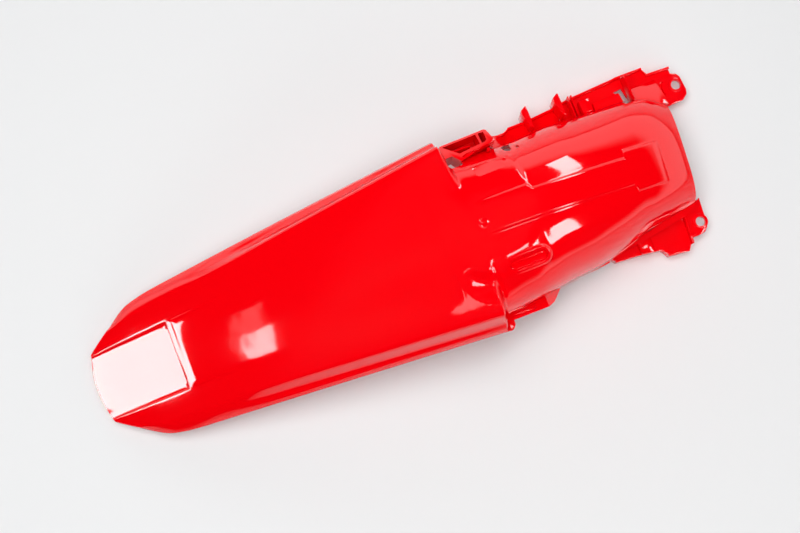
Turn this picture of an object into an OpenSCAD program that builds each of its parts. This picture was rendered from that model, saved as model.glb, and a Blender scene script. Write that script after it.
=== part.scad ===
// Rear fender of an off-road motorcycle: one moulded piece, lying as it comes to rest.
// Lengths are in millimetres. Stations run from the tail tip towards the front of the
// motorcycle, and left and right are those of the rider.

/* [Moulding] */
// Wall thickness of the moulded shell
wall = 3; // [2:0.25:4]
// Thickness of the flanges, ribs and pocket walls
rib_t = 3; // [2:0.25:4]

/* [Tail panel] */
// Length of the tail panel, from its tip to the bend under the seat
tail_l = 402; // [360:1:450]
// Height of the crown above the floor at the bend
bend_z = 121; // [100:1:140]
// Width of the end edge at the tail tip
tip_w = 80; // [77:1:84]
// Width between the edges of the tail, carried back to the tip as if its corners were square
tail_base_w = 148; // [140:1:160]
// Width between the edges of the tail at the step
tail_step_w = 220; // [212:1:232]
// Length of the rounded corners at the tip
corner_l = 105; // [80:1:130]
// Bow of the end edge at the tail tip
tip_bow = 7; // [4:0.5:10]
// Width between the creases, carried back to the tip
crease_base_w = 108; // [100:1:116]
// Width between the creases at the step
crease_step_w = 191; // [180:1:198]
// Drop of the edge flange below the crease at the tip
lip_tip_drop = 4; // [2:0.5:6]
// Drop of the edge flange below the crease at the step
lip_step_drop = 41; // [30:1:48]
// Rise of the crown above the creases at the bend
crown_h = 8; // [4:0.5:12]

/* [Tail recess] */
// Length of the flat recess at the tail tip
recess_l = 93; // [70:1:110]
// Width of the recess at the tip
recess_tip_w = 73; // [66:1:75]
// Width of the recess at its front wall
recess_front_w = 80; // [70:1:84]
// Depth of the recess
recess_d = 2.6; // [1.5:0.1:4]
// Height of the ridge in front of the recess
ridge_h = 1.6; // [0.8:0.1:2.4]
// Length from the recess to where the ridge has faded out
ridge_l = 62; // [50:1:80]

/* [Arch] */
// Length of the arch, from the bend to the middle of the front edge
arch_l = 289; // [260:1:320]
// Height of the top of the arch above the floor
crest_z = 124; // [105:1:140]
// Place of the highest point, forward of the bend
crest_x = 53; // [30:1:80]
// Fall of the top line from its highest point to the front edge
front_fall = 58; // [45:1:70]
// Extra turn-down of the front edge
front_lip_drop = 9; // [4:0.5:14]
// Width between the feet of the side walls behind the notch
arch_w = 196; // [186:1:206]
// Height of the feet above the floor at the step
step_foot_z = 62; // [50:1:74]
// Height of the feet above the floor along the front half
front_foot_z = 13; // [11:1:20]

/* [Strap] */
// Height of the raised strap along the top of the arch
strap_h = 1.8; // [1:0.1:3]
// Width of the strap behind the step in its left edge
strap_rear_w = 37; // [32:1:42]
// Width of the strap where it meets the pad
strap_front_w = 31; // [26:1:36]
// Width of the pad at the front end of the strap
pad_w = 46; // [40:1:54]
// Length of the pad
pad_l = 44; // [30:1:54]

/* [Shoulders] */
// Height of the flat shoulders beside the strap above the arch
shoulder_h = 3.2; // [2:0.1:4]
// Depth of the scoop over the end of the right wing
scoop_d = 5; // [3:0.25:6]

/* [Oblong recess] */
// Length of the oblong recess on the right shoulder, over its rim
slot_l = 46; // [36:1:52]
// Width of the oblong recess, over its rim
slot_w = 16; // [12:0.5:20]
// Width of the raised rim
slot_rim = 2.4; // [1.5:0.1:3.5]
// Depth of the oblong recess
slot_d = 2.4; // [1.5:0.1:3]
// Place of its middle, forward of the bend
slot_x = 77; // [70:1:86]
// Place of its middle from the middle line
slot_y = 48.5; // [44:0.5:54]

/* [Left pocket] */
// Length of the open pocket on the left shoulder
pocket_l = 62; // [52:1:66]
// Reach of its outer wall from the middle
pocket_reach = 100; // [96:0.5:104]
// Height of its outer wall above the floor
pocket_z = 90; // [82:1:98]
// Depth of the pocket below its outer wall
pocket_d = 34; // [24:1:42]

/* [Left rail] */
// Reach of the rail from the middle
rail_reach = 116.5; // [112:0.5:120]
// Height of the edge wall of the rail above its plate
rail_lip_h = 5; // [3:0.5:8]
// Reach of the upright tabs from the middle
tab_reach = 118; // [116:0.5:122]
// Height of the upright tabs above the floor
tab_z = 46; // [38:1:54]
// Width of the upright tabs along the fender
tab_w = 8; // [6:0.5:10]

/* [Right ledge] */
// Reach of the ledge behind the step in its edge
ledge_reach = 100; // [96:0.5:104]
// Height of the beads above the ledge
bead_h = 1.4; // [0.8:0.1:2]

/* [Right flange] */
// Reach of the right flange from the middle
flange_reach = 97; // [92:1:102]
// Height of its upper strip above the floor
strip_z = 26; // [22:1:30]
// Height of its raised box above the floor
box_z = 22; // [19:1:26]

/* [Mounting ears] */
// Diameter of the bolt holes
ear_bore_d = 11; // [8:0.5:13]
// Thickness of the ears
ear_t = 4; // [3:0.25:6]
// Radius of the rounded end of an ear
ear_r = 13; // [11:0.5:16]
// Place of the left hole, forward of the bend
left_ear_x = 321; // [315:1:330]
// Place of the left hole from the middle
left_ear_y = 84; // [80:1:88]
// Place of the right hole, forward of the bend
right_ear_x = 285; // [280:1:292]
// Place of the right hole from the middle
right_ear_y = 71; // [68:1:76]

/* [Hidden] */

red = [0.93, 0.02, 0.03];

// Unit helpers
function mix(a, b, t) = a + (b - a) * t;
function ramp(t) = min(1, max(0, t));
function smooth(t) = let (u = ramp(t)) u * u * (3 - 2 * u);

// Stations that the sections share
front_l = tail_l + arch_l;
step_gap = 30;
step_x = tail_l + step_gap;
cut = 1;

// Tail panel: top line, edge and crease
tail_bow_share = 0.24;
crown_tip_share = 0.4;
tip_z = wall + lip_tip_drop + crown_h * crown_tip_share;
lip_min_w = 1.6;
lip_fall_shares = [[0, 0], [0.42, 0.62], [0.82, 0.76], [1, 1]];
function tail_rise(t) = t * (1 + tail_bow_share - tail_bow_share * t);
function tail_top(x) = mix(tip_z, bend_z, tail_rise(x / tail_l));
function tail_crown(x) = crown_h * mix(crown_tip_share, 1, ramp(x / tail_l));
function corner_cut(x) = (tail_base_w - tip_w) / 2 * pow(1 - ramp(x / corner_l), 3);
function tail_edge(x) = mix(tail_base_w, tail_step_w, x / step_x) / 2 - corner_cut(x);
function tail_crease(x) = min(mix(crease_base_w, crease_step_w, x / step_x) / 2,
                              tail_edge(x) - lip_min_w);
// The edge flange hangs rounded near the tip, and has a step along it further on
lip_round_share = 1.7;
function lip_fall(x, s) =
    mix(lip_tip_drop, lip_step_drop, ramp(x / step_x))
    * mix(pow(s, lip_round_share), lookup(s, lip_fall_shares), smooth((x - corner_l) / corner_l));

// Arch: top line and feet, as shares of its own length and width
front_lip_share = 0.13;
section_shares = [2.7, 2.25];
function section_share(side) = section_shares[side < 0 ? 0 : 1];
right_foot_shares = [[0, 1], [0.1, 0.95], [0.294, 0.9], [0.44, 0.83], [0.547, 0.8], [0.616, 0.76],
                     [0.706, 0.69], [0.775, 0.62], [0.903, 0.56], [1, 0.51]];
left_foot_shares = [[0, 0.98], [0.1, 0.9], [0.2, 0.86], [0.34, 0.86], [0.43, 0.89], [0.55, 0.92],
                    [0.844, 0.89], [0.917, 0.84], [0.958, 0.77], [0.982, 0.725], [1, 0.68]];
foot_drop_shares = [[0, 0], [0.1, 0], [0.294, 0.2], [0.41, 0.75], [0.62, 1], [1, 1]];
function arch_top(t) = let (past = (t * arch_l - crest_x) / (arch_l - crest_x))
    crest_z - front_fall * past * abs(past)
    - front_lip_drop * pow(ramp((t - 1 + front_lip_share) / front_lip_share), 2);
function arch_half(t, side) =
    arch_w / 2 * lookup(t, side < 0 ? right_foot_shares : left_foot_shares);
function arch_foot(t) = mix(step_foot_z, front_foot_z, lookup(t, foot_drop_shares));

// Middle band of the section: the recess and the ridge before it, the strap and its pad.
// The strap's edges run out of line with the middle, and its left edge steps in.
edge_ramp = 1.4;
pad_share = 0.74;
pad_start = tail_l + arch_l * pad_share;
strap_lag = 12;
strap_start = tail_l + crest_x - strap_lag;
strap_break_share = 0.356;
strap_break = tail_l + strap_break_share * arch_l;
strap_break_l = 4;
strap_fade = 24;
ridge_rise_l = 7;
right_edge_shares = [0.62, 1];
left_edge_shares = [1.05, 0.97];
left_rear_share = 1.3;
function strap_half(x, side) =
    let (t = (x - strap_start) / (pad_start - strap_start),
         ends = side < 0 ? right_edge_shares : left_edge_shares,
         plain = mix(ends[0] * strap_rear_w, ends[1] * strap_front_w, t) / 2,
         step = side < 0 ? 1 : smooth((x - strap_break) / strap_break_l))
    mix(left_rear_share * strap_rear_w / 2, plain, step);
function band_half(x, side) =
    let (recess = mix(recess_tip_w, recess_front_w, x / (recess_l + ridge_l)) / 2,
         waist = mix(recess, strap_half(x, side),
                     smooth((x - recess_l - ridge_l) / (strap_start - recess_l - ridge_l))))
    mix(waist, pad_w / 2, smooth((x - pad_start) / edge_ramp));
function band_lift(x) =
    let (climb = smooth((x - recess_l) / edge_ramp),
         slope = smooth((x - recess_l - edge_ramp) / ridge_rise_l),
         fade = 1 - smooth((x - recess_l - edge_ramp - ridge_rise_l) / ridge_l),
         strap = smooth((x - strap_start) / strap_fade),
         pad_end = 1 - smooth((x - pad_start - pad_l) / edge_ramp))
    ridge_h * slope * fade - recess_d * (1 - climb) + strap_h * strap * pad_end;

// The floor of the recess is flat across
function recess_level(x, y) =
    (1 - smooth((x - recess_l) / edge_ramp)) * tail_crown(x)
    * (pow(y / tail_crease(x), 2) - pow(band_half(x, 1) / tail_crease(x), 2));

// The shoulders beside the strap are flatter than the arch, and end in front in a fold that
// runs outwards. These tables have shares of half the arch's width, then shares of its
// length or, for the rise, of the shoulder's height; the right side comes first.
shoulder_share = [0.08, 0.17];
rise_shares = [[[0.15, 0], [0.255, 0.25], [0.367, 0.69], [0.592, 0.81], [0.776, 0]],
               [[0.245, 0], [0.276, 0.09], [0.408, 0.5], [0.561, 0.94], [0.633, 1], [0.796, 0]]];
fold_top_shares = [[[0.173, 0.353], [0.25, 0.27], [0.337, 0.239], [0.367, 0.19], [0.612, 0.183]],
                   [[0.265, 0.358], [0.633, 0.342], [0.796, 0.336]]];
fold_shares = [[[0.173, 0.374], [0.26, 0.351], [0.49, 0.346], [0.592, 0.341], [0.776, 0.332]],
               [[0.265, 0.367], [0.408, 0.369], [0.473, 0.375], [0.551, 0.398], [0.633, 0.415],
                [0.796, 0.422]]];
function shoulder(x, y, side) =
    let (t = (x - tail_l) / arch_l, u = 2 * y / arch_w, k = side < 0 ? 0 : 1,
         top = lookup(u, fold_top_shares[k]), fold = lookup(u, fold_shares[k]),
         down = ramp((t - top) / (fold - top)),
         level = side < 0 ? 1 - down * down : pow(1 - down, 2))
    shoulder_h * lookup(u, rise_shares[k]) * level
    * smooth((t - shoulder_share[0]) / (shoulder_share[1] - shoulder_share[0]));

// A scoop runs forward over the end of the right wing. Its edges are given by shares of the
// arch's length, then of half its width.
scoop_inner_shares = [[0.007, 0.408], [0.04, 0.418], [0.076, 0.486], [0.118, 0.537], [0.176, 0.617]];
scoop_outer_shares = [[0.003, 0.561], [0.024, 0.648], [0.061, 0.724], [0.106, 0.778], [0.152, 0.801]];
scoop_end_shares = [0.1, 0.12, 0.16];
scoop_edge_share = 0.05;
function scoop(x, y) =
    let (t = (x - tail_l) / arch_l, u = 2 * y / arch_w)
    scoop_d * smooth(t / scoop_end_shares[0])
    * (1 - smooth((t - scoop_end_shares[1]) / (scoop_end_shares[2] - scoop_end_shares[1])))
    * smooth((u - lookup(t, scoop_inner_shares)) / scoop_edge_share)
    * (1 - smooth((u - lookup(t, scoop_outer_shares)) / scoop_edge_share + 1));

// Section columns from the middle outwards: zone 0 is the band, 1 runs to the crease and
// 2 is the side, each with its share of the zone
column_shares = [[0, 0], [0, 0.5], [0, 1], [1, 0], [1, 0.13], [1, 0.3], [1, 0.45], [1, 0.58],
                 [1, 0.7], [1, 0.8], [1, 0.9], [1, 1], [2, 0.1], [2, 0.24], [2, 0.42], [2, 0.62],
                 [2, 0.82], [2, 1]];
crease_share = 0.8;
last = len(column_shares) - 1;

function zone_y(zone, s, band, crease) =
    zone == 0 ? s * (band - edge_ramp / 2)
    : mix(band + edge_ramp / 2, crease, s);

function tail_point(x, zone, s, side) =
    let (band = band_half(x, side), crease = tail_crease(x), edge = tail_edge(x),
         top = tail_top(x), crown = tail_crown(x))
    zone < 2
        ? let (y = zone_y(zone, s, band, crease)) [y, top - crown * pow(y / crease, 2)]
        : [mix(crease, edge, s), top - crown - lip_fall(x, s)];

function arch_point(x, zone, s, side) =
    let (t = (x - tail_l) / arch_l, half = arch_half(t, side), foot = arch_foot(t),
         rise = arch_top(t) - foot, crease = half * crease_share, n = section_share(side),
         turn = asin(pow(crease_share, n / 2)))
    zone < 2
        ? let (y = zone_y(zone, s, band_half(x, side), crease))
          [y, foot + rise * pow(1 - pow(y / half, n), 1 / n)]
        : let (a = mix(turn, 90, s))
          [half * pow(sin(a), 2 / n), foot + rise * pow(abs(cos(a)), 2 / n)];

// The middle of the section turns from tail to arch at the bend. The wings beside it keep
// the form of the tail as far as the step, and end there in a steep wall.
bend_l = 46;
wing_end_l = 9;
wing_shares = [0.35, 0.8];
function blend(x, zone, s) =
    let (out = zone == 0 ? 0 : zone == 2 ? 1
               : smooth((s - wing_shares[0]) / (wing_shares[1] - wing_shares[0])))
    mix(smooth((x - tail_l) / bend_l), smooth((x - step_x) / wing_end_l), out);

// The front edge bows back in the middle and runs further forward on the left
front_bow = 6;
front_skew = 10;
front_draw_share = 0.35;
function front_shift(x, y) =
    let (w = smooth((x - front_l) / (arch_l * front_draw_share) + 1), u = 2 * y / arch_w)
    w * (front_bow * u * u + front_skew * u);

// The end edge at the tail tip bows out in the middle
tip_draw_l = 60;
function tip_shift(x, y) = -tip_bow * (1 - smooth(x / tip_draw_l)) * (1 - pow(2 * y / tip_w, 2));

function skin_point(x, column, side) =
    let (zone = column_shares[column][0], s = column_shares[column][1],
         b = blend(x, zone, s),
         a = tail_point(x, zone, s, side),
         c = b > 0 ? arch_point(x, zone, s, side) : a,
         out = mix(a[0], c[0], b),
         lift = zone == 0 ? band_lift(x) + recess_level(x, out) : 0,
         relief = shoulder(x, out, side) - (side < 0 ? scoop(x, out) : 0))
    [x + front_shift(x, side * out) + tip_shift(x, out), side * out, mix(a[1], c[1], b) + lift + relief];

// Stations along the fender, as shares of each stretch, closer together where the form turns
recess_shares = [0, 0.12, 0.25, 0.4, 0.55, 0.7, 0.85, 1];
ridge_shares = [0, 0.5, 1, 1.8];
tail_shares = [0.08, 0.17, 0.27, 0.38, 0.5, 0.6, 0.7, 0.8, 0.88, 0.95, 1];
bend_shares = [0.15, 0.3, 0.45, 0.6, 0.8, 1];
wing_end_shares = [0.25, 0.5, 0.75, 1];
strap_shares = [0.06, 0.13, 0.2, 0.27, 0.32, 0.35, 0.37, 0.39, 0.42, 0.46, 0.54, 0.62, 0.7, 0.78,
                0.86, 0.93, 1];
pad_shares = [0, 0.33, 0.66, 1];
front_shares = [0, 0.25, 0.45, 0.6, 0.75, 0.88, 1];
ridge_from = recess_l + edge_ramp;
ridge_to = ridge_from + 2 * ridge_rise_l;
function stretch(shares, from, to) = [for (t = shares) mix(from, to, t)];
stations = concat(
    stretch(recess_shares, 0, recess_l),
    stretch(ridge_shares, ridge_from, ridge_from + ridge_rise_l),
    stretch(tail_shares, ridge_to, tail_l),
    stretch(bend_shares, tail_l, step_x),
    stretch(wing_end_shares, step_x, step_x + wing_end_l),
    stretch(strap_shares, step_x + wing_end_l, pad_start),
    stretch(pad_shares, pad_start + edge_ramp, pad_start + pad_l),
    stretch(front_shares, pad_start + pad_l + edge_ramp, front_l));
rows = len(stations);
cols = 2 * last + 1;

// One row of the outer skin, from the right edge to the left
function skin_row(x) = [for (j = [-last : last]) skin_point(x, abs(j), j < 0 ? -1 : 1)];
outer_rows = [for (x = stations) skin_row(x)];

function unit(v) = v / norm(v);
function skin_normal(i, j) =
    unit(cross(outer_rows[min(rows - 1, i + 1)][j] - outer_rows[max(0, i - 1)][j],
               outer_rows[i][min(cols - 1, j + 1)] - outer_rows[i][max(0, j - 1)]));

// The shell: outer skin, inner skin one wall further in, and the rim between them
module shell() {
    outer = [for (i = [0 : rows - 1]) for (j = [0 : cols - 1]) outer_rows[i][j]];
    inner = [for (i = [0 : rows - 1]) for (j = [0 : cols - 1])
             outer_rows[i][j] - wall * skin_normal(i, j)];
    far = rows * cols;
    top_faces = [for (i = [0 : rows - 2]) for (j = [0 : cols - 2])
                 let (a = i * cols + j, b = a + 1, c = a + cols, d = c + 1)
                 each [[a, b, d], [a, d, c]]];
    bottom_faces = [for (f = top_faces) [f[0] + far, f[2] + far, f[1] + far]];
    side_faces = [for (i = [0 : rows - 2]) for (j = [0, cols - 1])
                  let (a = i * cols + j, b = a + cols)
                  each (j == 0 ? [[a, b, b + far], [a, b + far, a + far]]
                               : [[a, b + far, b], [a, a + far, b + far]])];
    end_faces = [for (j = [0 : cols - 2]) for (i = [0, rows - 1])
                 let (a = i * cols + j, b = a + 1)
                 each (i == 0 ? [[a, b + far, b], [a, a + far, b + far]]
                              : [[a, b, b + far], [a, b + far, a + far]])];
    polyhedron(concat(outer, inner),
               concat(top_faces, bottom_faces, side_faces, end_faces), convexity = 8);
}

// Height of the arch's outer skin, and its slope across, at a place from the middle
function skin_z(x, y) =
    let (t = (x - tail_l) / arch_l, half = arch_half(t, y), foot = arch_foot(t),
         n = section_share(y))
    foot + (arch_top(t) - foot) * pow(1 - pow(abs(y) / half, n), 1 / n) + shoulder(x, abs(y), y);
function skin_tilt(x, y) = atan(skin_z(x, y + cut / 2) / cut - skin_z(x, y - cut / 2) / cut);

// Places its children on the outer skin of the arch, upright to it across the section
module on_skin(x, y) {
    translate([x, y, skin_z(x, y)])
    rotate([skin_tilt(x, y), 0, 0])
    children();
}

// An outline with round ends
module oblong(l, w) {
    square([l - w, w], center = true);
    for (end = [-1, 1]) translate([end * (l - w) / 2, 0]) circle(d = w, $fn = 48);
}

// Oblong recess with a raised rim, on the right shoulder, and the bead along its floor
slot_rise = 1.2;
slot_bead_w = 1.4;
slot_bead_share = 0.7;
module slot_rim_ring() {
    on_skin(tail_l + slot_x, -slot_y)
    translate([0, 0, -slot_d - wall])
    linear_extrude(slot_d + wall + slot_rise)
    oblong(slot_l, slot_w);
}
module slot_hollow() {
    on_skin(tail_l + slot_x, -slot_y)
    difference() {
        translate([0, 0, -slot_d])
        linear_extrude(slot_d + slot_rise + cut)
        oblong(slot_l - 2 * slot_rim, slot_w - 2 * slot_rim);
        translate([0, slot_bead_w, -slot_d - cut])
        linear_extrude(cut + slot_bead_w)
        square([slot_bead_share * slot_l, slot_bead_w], center = true);
    }
}

// Round dimple on the middle line, behind the strap
dimple_d = 10;
dimple_depth = 1.2;
dimple_lag = 8;
module dimple() {
    translate([tail_l + crest_x - dimple_lag, 0, crest_z - dimple_depth])
    cylinder(d = dimple_d, h = dimple_depth + strap_h + cut, $fn = 48);
}

// Places beside the feet of the arch, by shares of its length. A reach is kept outside the
// foot, so that what stands there stays joined to it.
foot_rise = 1.5;
foot_grip_share = 0.8;
plate_z = front_foot_z + foot_rise;
function arch_x(t) = tail_l + t * arch_l;
function foot_y(t, side) = arch_half(t, side) - wall / 2;
function foot_point(t, side) =
    let (y = side * foot_y(t, side)) [arch_x(t) + front_shift(arch_x(t), y), y];
function foot_line(shares, side) = [for (t = shares) foot_point(t, side)];
function beside(p, side, reach) =
    [arch_x(p[0]), side * max(p[1] * reach, foot_y(p[0], side) + foot_grip_share * rib_t)];
function outline(shares, side, reach) = [for (p = shares) beside(p, side, reach)];

// What follows the slope of the feet, seen from the side: from one height below the top of
// the plates to another above it
slope_shares = [0, 0.1, 0.294, 0.41, 0.62, 1.2];
module foot_slope(low, up) {
    top = [for (t = slope_shares) [arch_x(t), arch_foot(t) + foot_rise + up]];
    bottom = [for (i = [len(top) - 1 : -1 : 0]) [top[i][0], top[i][1] - up - low]];
    rotate([90, 0, 0])
    linear_extrude(2 * arch_w, center = true)
    polygon(concat(top, bottom));
}
module along_foot(low, up) {
    intersection() {
        linear_extrude(crest_z) children();
        foot_slope(low, up);
    }
}

// Open pocket on the left shoulder: a tub sunk through the skin, with a long chamber, a short
// one beyond a rib, a deep corner open below and a dish beside them
pocket_x = step_x + rib_t / 2;
pocket_inner_share = 0.69;
pocket_inner_y = arch_w / 2 * pocket_inner_share;
pocket_floor_z = pocket_z - pocket_d;
pocket_slope_share = 0.15;
dish_d = 5;
tub_shares = [[-0.04, 0], [0.07, 1], [0.89, 1], [0.93, 0.97], [1, 0.5], [0.6, 0.37]];
chamber_shares = [[0.11, 0.91], [0.73, 0.91], [0.73, 0.55], [0.33, 0.48], [0.23, 0.69]];
end_shares = [[0.785, 0.91], [0.865, 0.91], [0.865, 0.62], [0.82, 0.55], [0.785, 0.55]];
deep_shares = [[0.07, 0.47], [0.2, 0.49], [0.33, 0.15], [0.29, 0.08], [0.05, 0.08], [0.03, 0.18]];
dish_shares = [[0.35, 0.33], [0.43, 0.4], [0.79, 0.42], [0.85, 0.3], [0.83, 0.22], [0.48, 0.2]];
module pocket_plan(shares) {
    polygon([for (p = shares) [pocket_x + p[0] * pocket_l, mix(pocket_inner_y, pocket_reach, p[1])]]);
}
module pocket_section(from_z, up) {
    climb = pocket_slope_share * pocket_reach / (pocket_reach - pocket_inner_y);
    rotate([90, 0, 90])
    linear_extrude(tail_l + arch_l)
    polygon([[0, from_z], [pocket_reach + cut, from_z], [pocket_reach + cut, pocket_z + up],
             [0, pocket_z * (1 + climb) + up]]);
}
module pocket_tub() {
    intersection() {
        linear_extrude(crest_z) pocket_plan(tub_shares);
        pocket_section(pocket_floor_z, 0);
    }
}
module pocket_hollow() {
    translate([0, 0, pocket_floor_z + rib_t])
    linear_extrude(crest_z) {
        pocket_plan(chamber_shares);
        pocket_plan(end_shares);
    }
    linear_extrude(2 * crest_z) pocket_plan(deep_shares);
    difference() {
        linear_extrude(2 * crest_z) pocket_plan(dish_shares);
        pocket_section(0, -dish_d);
    }
}

// Openings in the skin in front of the pocket: a square window and a small hole. Beside the
// strap lies a shallow recess for the seat.
window_shares = [[0.337, 0.78], [0.36, 0.81], [0.377, 0.795], [0.368, 0.706], [0.36, 0.689], [0.344, 0.708]];
peg_hole_share = [0.396, 0.722];
peg_hole_d = 3.8;
seat_l = 39;
seat_w = 11;
seat_d = 1.6;
seat_share = [0.265, 0.57];
module side_hole(shares) {
    linear_extrude(2 * crest_z)
    polygon([for (p = shares) [arch_x(p[0]), p[1] * arch_w / 2]]);
}
module peg_hole() {
    translate([arch_x(peg_hole_share[0]), peg_hole_share[1] * arch_w / 2, 0])
    cylinder(d = peg_hole_d, h = crest_z, $fn = 32);
}
module seat_recess() {
    on_skin(arch_x(seat_share[0]), seat_share[1] * arch_w / 2)
    translate([-seat_l / 2, -seat_w / 2, -seat_d])
    cube([seat_l, seat_w, seat_d + wall]);
}

// Left rail: a bent plate beside the foot of the arch, with a wall along its edge
rail_shares = [[0.374, 0.85], [0.423, 0.898], [0.513, 0.906], [0.631, 0.942], [0.692, 0.974],
               [0.894, 1], [1.004, 1], [1.015, 0.921], [1.107, 0.912], [1.107, 0.72], [1.04, 0.56]];
rail_edges = 8;
rail_foot_shares = [1, 0.982, 0.958, 0.917, 0.844, 0.685, 0.55, 0.43, 0.374];
module rail() {
    along_foot(rib_t, 0)
    polygon(concat(outline(rail_shares, 1, rail_reach), foot_line(rail_foot_shares, 1)));
    edge = [for (i = [0 : rail_edges - 1]) beside(rail_shares[i], 1, rail_reach)];
    along_foot(plate_z, rail_lip_h)
    polygon(concat(edge, [for (i = [rail_edges - 1 : -1 : 0]) edge[i] - [0, rib_t]]));
}

// Uprights on the rail: two hooked tabs, then ribs that each have a place along the arch, a
// reach and a height as shares of those of the tabs
tab_place_shares = [0.511, 0.645];
tab_outline_shares = [[0, 0], [0, 0.97], [-0.19, 1], [-0.94, 0.86], [-1, 0.68], [-0.5, 0.15]];
rib_shares = [[0.681, 0.96, 0.72], [0.697, 0.96, 0.72], [0.914, 0.95, 0.83]];
module upright(z) {
    translate([0, 0, plate_z - rib_t])
    linear_extrude(z - plate_z + rib_t)
    children();
}
module rail_uprights() {
    for (t = tab_place_shares)
        upright(tab_z)
        polygon([for (p = tab_outline_shares)
                 [arch_x(t) + p[0] * tab_w, mix(foot_y(t, 1) - wall / 4, tab_reach, p[1])]]);
    for (r = rib_shares) {
        inner = foot_y(r[0], 1) - wall / 4;
        upright(r[2] * tab_z)
        translate([arch_x(r[0]), inner])
        square([rib_t / 2, r[1] * tab_reach - inner]);
    }
}

// Two raised pads on the rail, open below: each with its ends along the arch, its reach as a
// share of the rail's and its height as a share of the tabs'
pad_place_shares = [[0.719, 0.763, 0.896, 0.6], [0.771, 0.892, 0.84, 0.45]];
module rail_pad_plan(p, inset) {
    from = foot_y(p[0], 1) - (inset > 0 ? 0 : wall / 4);
    translate([arch_x(p[0]) + inset, from + inset])
    square([arch_x(p[1]) - arch_x(p[0]) - 2 * inset, p[2] * rail_reach - from - 2 * inset]);
}
module rail_pads() {
    for (p = pad_place_shares) upright(p[3] * tab_z) rail_pad_plan(p, 0);
}
module rail_pad_hollows() {
    for (p = pad_place_shares) linear_extrude(p[3] * tab_z - rib_t) rail_pad_plan(p, rib_t);
}

// Slot in the rail beside the third rib
bracket_shares = [[0.871, 0.867], [0.904, 0.878], [0.904, 0.74], [0.871, 0.76]];
module bracket_slot() {
    linear_extrude(plate_z + rib_t)
    polygon([for (p = bracket_shares) [arch_x(p[0]), p[1] * rail_reach]]);
}

// Sloping plate between the rail and the front corner of the arch
ramp_shares = [0.925, 1.04];
ramp_reach_share = 0.84;
ramp_slope = 0.5;
module rail_ramp() {
    outer = ramp_reach_share * rail_reach;
    foot = foot_line([1, 0.982, 0.958, ramp_shares[0]], 1);
    intersection() {
        linear_extrude(crest_z)
        polygon(concat([[arch_x(ramp_shares[0]), outer], [arch_x(ramp_shares[1]), outer],
                        [arch_x(ramp_shares[1]), foot[0][1] + wall]], foot));
        rotate([90, 0, 90])
        linear_extrude(tail_l + 2 * arch_l)
        polygon([[0, plate_z - rib_t / 2], [outer, plate_z - rib_t / 2], [outer, plate_z + rib_t / 4],
                 [0, plate_z + rib_t / 4 + ramp_slope * outer]]);
    }
}

// Right ledge: the foot of the arch turned out, with an S-shaped step in its edge, two beads
// along it and a lug at its rear
ledge_shares = [[0.107, 0.975], [0.131, 1], [0.298, 0.997], [0.325, 0.966], [0.345, 0.918],
                [0.37, 0.848], [0.39, 0.822], [0.539, 0.79], [0.598, 0.768]];
ledge_foot_shares = [0.598, 0.547, 0.44, 0.294, 0.2, 0.107];
bead_shares = [[0.16, 0.895], [0.16, 0.94]];
bead_l_share = 0.09;
lug_shares = [[0.09, 0.975], [0.155, 0.99], [0.152, 1.05], [0.132, 1.09], [0.104, 1.09]];
module right_ledge() {
    along_foot(rib_t, 0)
    polygon(concat(outline(ledge_shares, -1, ledge_reach), foot_line(ledge_foot_shares, -1)));
    along_foot(rib_t / 2, bead_h)
    for (p = bead_shares)
        translate([arch_x(p[0]), -p[1] * ledge_reach])
        square([bead_l_share * arch_l, rib_t / 2]);
    along_foot(rib_t, -cut)
    polygon(outline(lug_shares, -1, ledge_reach));
}

// Right flange: a plate beside the foot of the arch with a wall below its edge, a higher strip
// along the foot, a raised box open below and a rib
flange_shares = [[0.612, 0.78], [0.622, 0.815], [0.725, 0.843], [0.807, 0.877], [0.823, 0.968],
                 [0.904, 1], [0.922, 0.92], [0.935, 0.866]];
flange_front_share = [1.003, 0.825];
flange_foot_shares = [1, 0.903, 0.775, 0.706, 0.612];
strip_shares = [[0.615, 0.775], [0.737, 0.717], [0.844, 0.667], [0.931, 0.623], [0.988, 0.545]];
strip_foot_shares = [0.985, 0.903, 0.775, 0.706, 0.615];
box_shares = [[0.722, 0.69], [0.724, 0.847], [0.773, 0.868], [0.777, 0.67]];
flange_rib_shares = [0.92, 0.6, 0.94];
module strip_plan(inset) {
    polygon(concat([for (p = outline(strip_shares, -1, flange_reach)) p + [0, inset]],
                   foot_line(strip_foot_shares, -1)));
}
module box_plan() {
    polygon([for (p = box_shares) [arch_x(p[0]), -p[1] * flange_reach]]);
}
module right_flange() {
    edge = outline(flange_shares, -1, flange_reach);
    translate([0, 0, plate_z - rib_t])
    linear_extrude(rib_t)
    polygon(concat(edge, [beside(flange_front_share, -1, flange_reach)], foot_line(flange_foot_shares, -1)));
    linear_extrude(plate_z)
    polygon(concat(edge, [for (i = [len(edge) - 1 : -1 : 0]) edge[i] + [0, rib_t]]));
    translate([0, 0, strip_z - rib_t]) linear_extrude(rib_t) strip_plan(0);
    upright(strip_z)
    difference() {
        strip_plan(0);
        strip_plan(rib_t);
    }
    upright(box_z) box_plan();
    upright(strip_z - cut)
    translate([arch_x(flange_rib_shares[0]), -flange_rib_shares[2] * flange_reach])
    square([rib_t, (flange_rib_shares[2] - flange_rib_shares[1]) * flange_reach]);
}
module box_hollow() {
    linear_extrude(box_z - rib_t) offset(delta = -rib_t) box_plan();
}

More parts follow.
